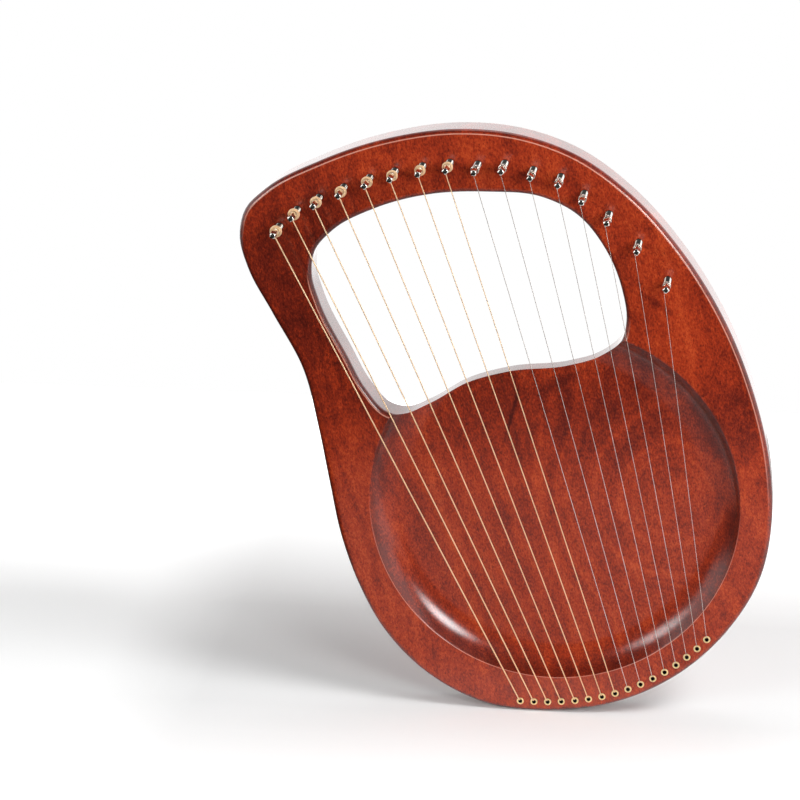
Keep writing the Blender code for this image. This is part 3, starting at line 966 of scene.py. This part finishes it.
@dataclass
class TuningPins:
    """Sixteen nickel-plated pins with squared, tapered heads."""

    reach: float = 0.031  # out of the face
    buried: float = 0.017
    head_length: float = 0.0115
    root_width: float = 0.0042  # across flats
    end_width: float = 0.0040
    crown_radius: float = 0.0016  # of the flat end inside its turned chamfer
    crown_rise: float = 0.00055
    run_out: float = 0.0030  # radius where a flat runs out into the round shank
    edge_round: float = 0.00012
    edge_angle: float = 24.0  # degrees; sharper edges of the head are rounded
    end_chamfer: float = 0.0006
    thread_start: float = 0.0142  # out of the face
    thread_pitch: float = 0.0005
    thread_depth: float = 0.00024
    thread_stop: float = 0.001  # from the buried end
    cutter: Point = (0.004, 0.008)  # thickness and width of the cutter of a flat
    cutter_lead: float = 0.001  # how far it stands past the flat at each end
    turns: tuple[int, ...] = (8, 60, 40, 42, 42, 18, 12, 45, 4, 45, 36, 52, 6, 74, 40, 47)

    def build(self, nickel: Finish) -> None:
        """Make one pin, and copy it into its sixteen holes."""
        pattern = self.pattern()
        pattern.data.materials.append(nickel)
        for i, (place, degrees) in enumerate(zip(PIN_PLACES, self.turns)):
            turn = Matrix.Rotation(math.radians(degrees), 4, "Y")
            move = Matrix.Translation(on_face(place, 0.0)) @ turn
            pin = copied(pattern, f"nickel_pin_{i + 1:02d}", move)
            seat(pin, f"pin_{i + 1:02d}", "nickel_plate", f"tuning_pin_{i + 1:02d}")
        bpy.data.meshes.remove(pattern.data)

    def pattern(self) -> Piece:
        """Turn the blank with its thread and its chamfered end, and mill its four flats.

        Returns:
            A pin about the Y axis, at the depth that it is driven to.
        """
        tip, end = FACE_Y - self.reach, FACE_Y + self.buried
        thread = FACE_Y - self.thread_start
        profile = [(0.0, tip), (self.crown_radius, tip), (PIN_RADIUS, tip + self.crown_rise),
                   (PIN_RADIUS, thread)]
        grooves = int((end - self.thread_stop - thread) / self.thread_pitch)
        for i in range(grooves):
            y = thread + self.thread_pitch * i
            profile.append((PIN_RADIUS - self.thread_depth, y + self.thread_pitch / 2))
            profile.append((PIN_RADIUS, y + self.thread_pitch))
        profile += [(PIN_RADIUS - self.end_chamfer, end), (0.0, end)]
        pin = turned("pin_pattern", profile, steps=40)
        cut_away(pin, [self.flat_cutter(90.0 * i) for i in range(4)], crossing=True)
        with shaping(pin):
            pick(pin, Element.FACE, lambda face: all(v.co.y < tip + NEAR for v in face.verts))
            bpy.ops.mesh.dissolve_faces()
            pick(pin, Element.EDGE, lambda e: e.calc_face_angle(0.0) > math.radians(self.edge_angle)
                 and all(v.co.y < thread - self.thread_pitch for v in e.verts))
            bpy.ops.mesh.bevel(offset=self.edge_round, segments=2, affect="EDGES")
        soften(pin, degrees=40)
        return pin

    def flat_cutter(self, degrees: float) -> Piece:
        """Cutter of one tapered flat, rounded where the flat runs out.

        Args:
            degrees: Which side of the pin it cuts.

        Returns:
            The cutter.
        """
        tip, root = FACE_Y - self.reach, FACE_Y - self.reach + self.head_length
        thick, wide = self.cutter
        length = root - tip + self.run_out / 2 + self.cutter_lead
        middle = ((self.root_width + thick) / 2, tip - self.cutter_lead + length / 2, 0.0)
        cutter = block("flat_cutter", middle, (thick, length, wide))
        with shaping(cutter):
            pick(cutter, Element.POINT, lambda v: v.co.x < self.root_width and v.co.y < tip)
            bpy.ops.transform.translate(value=((self.end_width - self.root_width) / 2, 0.0, 0.0))
            pick(cutter, Element.EDGE, lambda e: all(v.co.x < self.root_width and v.co.y > root
                                                     for v in e.verts))
            bpy.ops.mesh.bevel(offset=self.run_out / 2, segments=6, affect="EDGES")
        cutter.data.transform(Matrix.Rotation(math.radians(degrees), 4, "Y"))
        return cutter


@dataclass
class Eyelets:
    """Brass eyelets pressed into the mouths of the string holes."""

    edge_space: float = 0.008
    start: Point = (13.5, 8.0)
    pitch: float = 0.01057
    line_steps: int = 720
    barrel: float = 0.0019  # radius
    flange: float = 0.0028  # radius
    flange_edge: float = 0.0002
    flange_gap: float = 0.00005  # under the flange
    length: float = 0.005
    throat: float = 0.0001  # how far into the wall the tarnish reaches

    def places(self) -> list[Point]:
        """Return where the eyelets sit, evenly spaced inside the lower edge."""
        outline = smooth_loop(OUTLINE, self.line_steps)
        x, z = outline.T
        if np.sum(x * np.roll(z, -1) - z * np.roll(x, -1)) < 0:
            outline = outline[::-1]
        along = np.roll(outline, -1, axis=0) - np.roll(outline, 1, axis=0)
        along /= np.linalg.norm(along, axis=1)[:, None]
        inward = np.column_stack([-along[:, 1], along[:, 0]])
        line = outline + inward * self.edge_space / DRAWN_UNIT
        first = np.argmin(np.linalg.norm(line - np.array(self.start), axis=1))
        line = np.roll(line, -first, axis=0)
        run = run_along(line)
        stops = np.arange(STRING_COUNT) * self.pitch / DRAWN_UNIT
        return [(np.interp(s, run, line[:, 0]), np.interp(s, run, line[:, 1])) for s in stops]

    def build(self, brass: Finish, tarnished: Finish) -> None:
        """Press one eyelet, and set a copy of it in each hole.

        Args:
            brass: Finish of the outside.
            tarnished: Finish of the throat.
        """
        wide, edge = (self.flange - EYELET_BORE) / 2, self.flange_edge
        end, under = FACE_Y + self.length, FACE_Y - self.flange_gap
        profile = [(self.barrel, end), (self.barrel, under), (self.flange - edge, under)]
        profile += arc((EYELET_BORE + wide, under - edge), (wide, EYELET_HEIGHT - edge),
                       start=0, end=-180, steps=10)
        profile.append((EYELET_BORE, end))
        pattern = turned("eyelet_pattern", profile, steps=36, closed=True)
        coat(pattern, brass, tarnished, lambda face: all(
            math.hypot(v.co.x, v.co.z) < EYELET_BORE + self.throat for v in face.verts))
        soften(pattern, degrees=40)
        for i, place in enumerate(self.places()):
            move = Matrix.Translation(on_face(place, 0.0))
            eyelet = copied(pattern, f"brass_eyelet_{i + 1:02d}", move)
            seat(eyelet, FRAME_BODY, "brass", f"eyelet_{i + 1:02d}")
        bpy.data.meshes.remove(pattern.data)


@dataclass(frozen=True)
class Winding:
    """How one kind of string lies on its pin."""

    start: float  # height of the lowest turn above the face
    under: float  # turns that lie on the pin
    over: float  # turns that climb back over those
    pitch: float  # diameters from one turn to the next
    nesting: float  # diameters from the lower layer to the upper


WINDINGS = {
    StringKind.WOUND: Winding(0.0148, 3.0, 1.8, 1.06, 0.92),
    StringKind.PLAIN: Winding(0.0160, 7.25, 0.0, 1.25, 0.0),
}


@dataclass
class HarpString:
    """One string: looped round its ball end, up through its eyelet and round its pin."""

    number: int
    eyelet: Point
    pin: Point
    kind: StringKind
    diameter: float
    clearance: float = 0.00012  # between the coil and the pin that turns in it
    rub_space: float = 0.0001  # between the string and the bore of its eyelet
    bend_radius: float = 0.0012  # of the eyelet's lip under the string
    bend_steps: int = 8
    bore_depths: Point = (0.012, 0.003)  # where the string nears the bore, and where it touches
    span_steps: int = 12
    loop_arc: Point = (-60.0, 300.0)  # degrees, start and sweep of the noose
    loop_steps: int = 24
    loop_space: float = 0.00005
    climb: Point = (0.15, 0.3)  # turns before a layer's end, and turns that it takes
    sink: float = 0.35  # pitches that the string slips back as it climbs
    sides: int = 12
    turn_steps: int = 36

    def route(self) -> list[Vector]:
        """Return the points along the middle of the string."""
        r = self.diameter / 2
        start, pin = on_face(self.eyelet), on_face(self.pin)
        inner = PIN_RADIUS + self.clearance + r
        to_pin = pin - start
        lean = math.asin(inner / to_pin.length)
        heading = (Matrix.Rotation(-lean, 3, "Y") @ to_pin).normalized()
        touch = start + heading * to_pin.length * math.cos(lean)
        ahead = Vector((0.0, -1.0, 0.0))
        rub = EYELET_BORE - r - self.rub_space
        top, bend = EYELET_HEIGHT + r, self.bend_radius + r
        deep, shallow = self.bore_depths
        points = self.loop(start, heading)
        points.append(start + heading * rub / 2 - ahead * deep)
        points.append(start + heading * rub - ahead * shallow)
        for i in range(self.bend_steps + 1):
            a = math.radians(90) * i / self.bend_steps
            points.append(start + heading * (rub + bend * (1 - math.cos(a)))
                          + ahead * (top - bend * (1 - math.sin(a))))
        begin, end = points[-1], touch + ahead * WINDINGS[self.kind].start
        points += [begin.lerp(end, i / self.span_steps) for i in range(1, self.span_steps)]
        for angle, radius, height in self.coil(inner):
            turn = Matrix.Rotation(angle, 3, "Y")
            points.append(pin + (turn @ (touch - pin)).normalized() * radius + ahead * height)
        return points

    def loop(self, start: Vector, heading: Vector) -> list[Vector]:
        """Return the noose round the waist of the ball end."""
        middle = start + Vector((0.0, BALL_DEPTH, 0.0))
        reach = BALL_WAIST + self.diameter / 2 + self.loop_space
        across = Vector((heading.x, 0.0, heading.z)).normalized()
        first, sweep = self.loop_arc
        points = []
        for i in range(self.loop_steps + 1):
            a = math.radians(first + sweep * i / self.loop_steps)
            points.append(middle - across * reach * math.cos(a)
                          + Vector((0.0, reach * math.sin(a), 0.0)))
        return points

    def coil(self, inner: float) -> Iterator[tuple[float, float, float]]:
        """Yield angle, radius and height of each point of the coil on the pin.

        A plain string winds once along the pin. A wound one climbs onto its own turns
        and winds back over them, as far as its cut end.

        Args:
            inner: Radius of the turns that lie on the pin.
        """
        lie = WINDINGS[self.kind]
        before, takes = self.climb
        for i in range(round((lie.under + lie.over) * self.turn_steps) + 1):
            turns = i / self.turn_steps
            climb = min(1.0, max(0.0, (turns - lie.under + before) / takes))
            ease = climb * climb * (3 - 2 * climb)
            radius = inner + lie.nesting * self.diameter * ease
            rise = min(turns, lie.under) - max(0.0, turns - lie.under) - self.sink * ease
            yield 2 * math.pi * turns, radius, lie.start + lie.pitch * self.diameter * rise

    def build(self, finish: Finish) -> None:
        """Draw the string along its route as one tube with its own UV map."""
        points = self.route()
        name = f"{self.kind.value}_string_{self.number:02d}"
        run = run_along(points)
        tangents = [(points[min(i + 1, len(points) - 1)] - points[max(i - 1, 0)]).normalized()
                    for i in range(len(points))]
        side = tangents[0].orthogonal().normalized()
        shape = bmesh.new()
        sheet = shape.loops.layers.uv.new("UVMap")
        rings = []
        for point, tangent in zip(points, tangents):
            side = (side - tangent * side.dot(tangent)).normalized()
            up = tangent.cross(side)
            ring = []
            for k in range(self.sides):
                a = 2 * math.pi * k / self.sides
                spoke = (side * math.cos(a) + up * math.sin(a)) * self.diameter / 2
                ring.append(shape.verts.new(point + spoke))
            rings.append(ring)
        for i, (low, high) in enumerate(zip(rings, rings[1:])):
            for k in range(self.sides):
                j = (k + 1) % self.sides
                face = shape.faces.new((low[k], low[j], high[j], high[k]))
                face.smooth = True
                corners = ((k, i), (k + 1, i), (k + 1, i + 1), (k, i + 1))
                for corner, (u, v) in zip(face.loops, corners):
                    corner[sheet].uv = (u / self.sides, run[v])
        shape.faces.new(rings[0][::-1])
        shape.faces.new(rings[-1])
        bmesh.ops.recalc_face_normals(shape, faces=shape.faces)
        mesh = bpy.data.meshes.new(name)
        shape.to_mesh(mesh)
        shape.free()
        piece = bpy.data.objects.new(name, mesh)
        bpy.context.collection.objects.link(piece)
        mesh.materials.append(finish)
        slot = "bronze_winding" if self.kind is StringKind.WOUND else "plain_steel"
        seat(piece, FRAME_BODY, slot, f"string_{self.number:02d}")


@dataclass
class Strings:
    """The eight wound and eight plain strings, and the ball ends that hold them."""

    wound_diameters: Point = (0.00098, 0.00074)
    plain_diameters: Point = (0.00050, 0.00036)
    ball_radius: float = 0.0016
    ball_length: float = 0.0030
    ball_hole: float = 0.0006
    ball_edge: float = 0.0002
    waist_shares: Point = (0.55, 0.25)  # of the half length, where the waist begins and is full

    def build(self, eyelets: Sequence[Point], bronze: Finish, steel: Finish,
              brass: Finish) -> None:
        """String the harp from its lowest note to its highest.

        Args:
            eyelets: Places of the eyelets.
            bronze: Finish of the wound strings.
            steel: Finish of the plain strings.
            brass: Finish of the ball ends.
        """
        for i, (eyelet, pin) in enumerate(zip(eyelets, PIN_PLACES)):
            wound = i < WOUND_COUNT
            kind = StringKind.WOUND if wound else StringKind.PLAIN
            first, last = self.wound_diameters if wound else self.plain_diameters
            share = (i if wound else i - WOUND_COUNT) / (WOUND_COUNT - 1)
            string = HarpString(i + 1, eyelet, pin, kind, first + (last - first) * share)
            string.build(bronze if wound else steel)
        self.ball_ends(eyelets, brass)

    def ball_ends(self, eyelets: Sequence[Point], brass: Finish) -> None:
        """Turn one ball end with its waist and hole, and lay a copy in each pocket."""
        half, rim, edge = self.ball_length / 2, self.ball_radius, self.ball_edge
        begins, full = self.waist_shares
        upper = [(self.ball_hole, half), (rim - edge, half), (rim, half - edge),
                 (rim, half * begins), (BALL_WAIST, half * full)]
        profile = [(radius, -y) for radius, y in upper] + upper[::-1]
        pattern = turned("ball_pattern", profile, steps=28, closed=True)
        pattern.data.materials.append(brass)
        soften(pattern, degrees=35)
        across = Matrix.Rotation(math.radians(90), 4, "Z")
        for i, (eyelet, pin) in enumerate(zip(eyelets, PIN_PLACES)):
            heading = on_face(pin) - on_face(eyelet)
            lay = Matrix.Rotation(math.atan2(-heading.x, heading.z), 4, "Y").inverted()
            spot = Matrix.Translation(on_face(eyelet, FACE_Y + BALL_DEPTH))
            ball = copied(pattern, f"ball_end_{i + 1:02d}", spot @ lay @ across)
            seat(ball, FRAME_BODY, "brass")
        bpy.data.meshes.remove(pattern.data)


# Studio


@dataclass(frozen=True)
class SoftLamp:
    """A lamp behind stretched cloth that faces the middle of the harp."""

    name: str
    azimuth: float  # degrees round the harp, 0 in front of it
    elevation: float
    size: Point  # metres across and high
    watts: float
    mirrored: bool = True  # whether glossy surfaces show it
    throw: float = 2.2  # metres from lamp to aim
    aim: Place = (0.0, 0.0, 0.22)
    cloth_ends: Point = (0.08, 0.5)  # of the way from middle to edge, where it fades
    cloth_glow: Point = (2.4, 0.05)  # in its middle and at its edge

    def hang(self) -> None:
        """Hang the lamp in its place."""
        a, e = math.radians(self.azimuth), math.radians(self.elevation)
        away = Vector((math.sin(a) * math.cos(e), -math.cos(a) * math.cos(e), math.sin(e)))
        light = bpy.data.lights.new(self.name, "AREA")
        light.shape = "RECTANGLE"
        light.size, light.size_y = self.size
        light.energy = self.watts
        light.use_nodes = True
        tree = light.node_tree
        place = put(tree, "NewGeometry").outputs["Parametric"]
        glow = mapped(tree, distance(tree, place, (0.5, 0.5, 0.0)), self.cloth_ends,
                      self.cloth_glow, "SMOOTHSTEP")
        feed(tree, tree.nodes["Emission"], {"Strength": glow})
        lamp = bpy.data.objects.new(self.name, light)
        lamp.visible_glossy = self.mirrored
        lamp.location = Vector(self.aim) + away * self.throw
        lamp.rotation_euler = away.to_track_quat("Z", "Y").to_euler()
        bpy.context.collection.objects.link(lamp)


@dataclass
class Studio:
    """Camera, table, lamps and surroundings of the portrait."""

    azimuth: float = 7.5  # degrees that the camera is turned, and how steeply it looks down
    elevation: float = 17.1
    eye: Place = (0.2016, -2.1369, 0.9102)
    lens: float = 135.0
    sensor: float = 36.0
    table_size: Point = (6.0, 2.3)
    table_place: Place = (0.0, -0.35, -0.0002)
    table_white: str = "#f4f4f4"
    painted_glow_near: float = 0.02  # painted glow close to the harp, seen only by the camera
    # Painted glow seen only by the camera, added along an axis: 0 across or 1 in depth, from and to
    # in metres, and gain.
    # It whitens the table in front, far behind and to the left, where it lifts the harp's shadow.
    painted_glows: tuple[tuple[float, ...], ...] = (
        (1, 0.2, 0.75, 1.13), (1, -0.01, -0.12, 0.15), (0, -0.24, -0.33, 0.2),
    )
    # Painted reflection, the table's tone for every ray but the camera's, as the lacquer mirrors
    # it: shifts of depth along X, from and to in metres, and gain, the depths between which it goes
    # from dark to white, and the tones on the way.
    mirror_shifts: tuple[tuple[float, ...], ...] = (
        (0.25, 1.0, 1.4), (-0.2, -0.35, -1.0), (-0.9, -1.2, 2.0),
    )
    mirror_ends: Point = (-0.8, 0.2)
    mirror_stops: tuple[tuple[float, str], ...] = (
        (0.0, "#181818"), (0.35, "#a8a8a8"), (0.69, "#b0b0b0"), (0.76, "#f0f0f0"), (1.0, "#f4f4f4"),
    )
    # White surroundings by direction, each as ends of the direction and strengths at them.
    behind: tuple[Point, Point] = ((-0.30, 0.35), (0.05, 1.6))
    beside: tuple[Point, Point] = ((0.68, 0.84), (0.0, 1.5))
    above: tuple[Point, Point] = ((0.50, 0.9), (1.0, 0.3))
    world_fill: float = 0.22  # share of the surroundings that lights matt things
    lamps: tuple[SoftLamp, ...] = (
        SoftLamp("softbox_right", 33.0, 19.0, (1.10, 1.00), 30.0),
        SoftLamp("softbox_left", -43.0, 20.0, (1.50, 0.95), 17.0),
        SoftLamp("side_bank", 60.0, 48.0, (1.70, 1.30), 47.0, mirrored=False),
        SoftLamp("overhead", 180.0, 75.0, (1.80, 1.40), 8.0),
    )

    def camera(self) -> None:
        """Set the camera up at the angle of the photograph."""
        camera = bpy.data.objects.new("camera", bpy.data.cameras.new("camera"))
        camera.data.lens = self.lens
        camera.data.sensor_width = self.sensor
        camera.location = self.eye
        camera.rotation_euler = (
            math.radians(90 - self.elevation), 0.0, math.radians(self.azimuth),
        )
        bpy.context.collection.objects.link(camera)
        bpy.context.scene.camera = camera

    def table(self) -> None:
        """Lay a matt white table whose painted glow, seen only by the camera, whitens it far off
        and lifts the harp's shadow.
        """
        leave_all()
        bpy.ops.mesh.primitive_plane_add(size=1.0)
        table = bpy.context.active_object
        table.scale = (*self.table_size, 1.0)
        table.location = self.table_place
        table = started("table")
        opal, tree, shader = bare_finish("table_painted_glow_and_reflection", {
            "Roughness": 0.7, "Specular IOR Level": 0.0, "Emission Color": tone("#ffffff"),
        })
        axes = split(tree, put(tree, "TexCoord").outputs["Object"])
        seen = put(tree, "LightPath").outputs["Is Camera Ray"]
        depth = axes[1]
        for start, end, gain in self.mirror_shifts:
            shift = mapped(tree, axes[0], (start, end), (0.0, gain))
            depth = reckon(tree, "ADD", depth, shift)
        # Painted reflection: the camera sees the table white, other rays meet these tones.
        mirrored = ramped(tree, mapped(tree, depth, self.mirror_ends), self.mirror_stops)
        white = blended(tree, seen, mirrored, self.table_white)
        # Painted glow that only camera rays see: it lights nothing, and whitens the table and lifts
        # the harp's shadow.
        glow = self.painted_glow_near
        for axis, start, end, gain in self.painted_glows:
            glow = reckon(tree, "ADD", glow, mapped(tree, axes[axis], (start, end), (0.0, gain)))
        glow = reckon(tree, "MULTIPLY", glow, seen)
        feed(tree, shader, {"Base Color": white, "Emission Strength": glow})
        table.data.materials.append(opal)

    def surroundings(self) -> None:
        """White studio behind and beside the harp, and a dim one in front of it."""
        world = bpy.data.worlds.new("studio")
        bpy.context.scene.world = world
        world.use_nodes = True
        tree = world.node_tree
        axes = split(tree, put(tree, "TexCoord").outputs["Generated"])
        behind = mapped(tree, axes[1], *self.behind, "SMOOTHSTEP")
        beside = mapped(tree, reckon(tree, "ABSOLUTE", axes[0]), *self.beside, "SMOOTHSTEP")
        above = mapped(tree, axes[2], *self.above, "SMOOTHSTEP")
        glow = reckon(tree, "MULTIPLY", reckon(tree, "MAXIMUM", behind, beside), above)
        rays = put(tree, "LightPath").outputs
        weak = reckon(tree, "MULTIPLY", glow, self.world_fill)
        lit = put(tree, "Mix", {}, {0: rays["Is Diffuse Ray"], 2: glow, 3: weak}).outputs[0]
        strength = put(tree, "Mix", {3: 1.0}, {0: rays["Is Camera Ray"], 2: lit}).outputs[0]
        feed(tree, tree.nodes["Background"], {"Strength": strength})
        tree.nodes["Background"].inputs["Color"].default_value = tone("#ffffff")

    def build(self) -> None:
        """Set up all but the camera."""
        self.table()
        for lamp in self.lamps:
            lamp.hang()
        self.surroundings()
        bpy.context.scene.view_settings.view_transform = "Standard"


def main() -> None:
    """Build the portrait: camera and strings first, then the harp and its studio."""
    logging.basicConfig(level=logging.INFO, format="%(message)s")
    studio = Studio()
    studio.camera()
    eyelets = Eyelets()
    places = eyelets.places()
    Strings().build(
        places,
        WireWrap("bronze_wound", "#ffe2bc", 0.66).make(),
        WorkedMetal("steel_drawn", "#f4eae2", 0.22, patch=0.6).make(),
        WorkedMetal("brass_turned", "#d9ae62", 0.28).make(),
    )
    eyelets.build(
        WorkedMetal("brass_pressed", "#ffe9b4", 0.58).make(),
        WorkedMetal("brass_tarnished", "#2a1c0e", 0.55).make(),
    )
    TuningPins().build(WorkedMetal("nickel_plated", "#f0ece4", 0.12, spread=0.05).make())
    CarvedBody().build(
        places,
        Mahogany("mahogany_lacquered").make(),
        Mahogany("mahogany_bare", dark="#6b3420", middle="#8a4a2e", light="#a5633f",
                 roughness=0.7, coat=0.0).make(),
    )
    BackPlate().build(
        Mahogany("mahogany_back_lacquered", lean=0.0, eye=(400.0, 152.0)).make(),
        Spruce().make(),
    )
    studio.build()


if __name__ == "__main__":
    main()
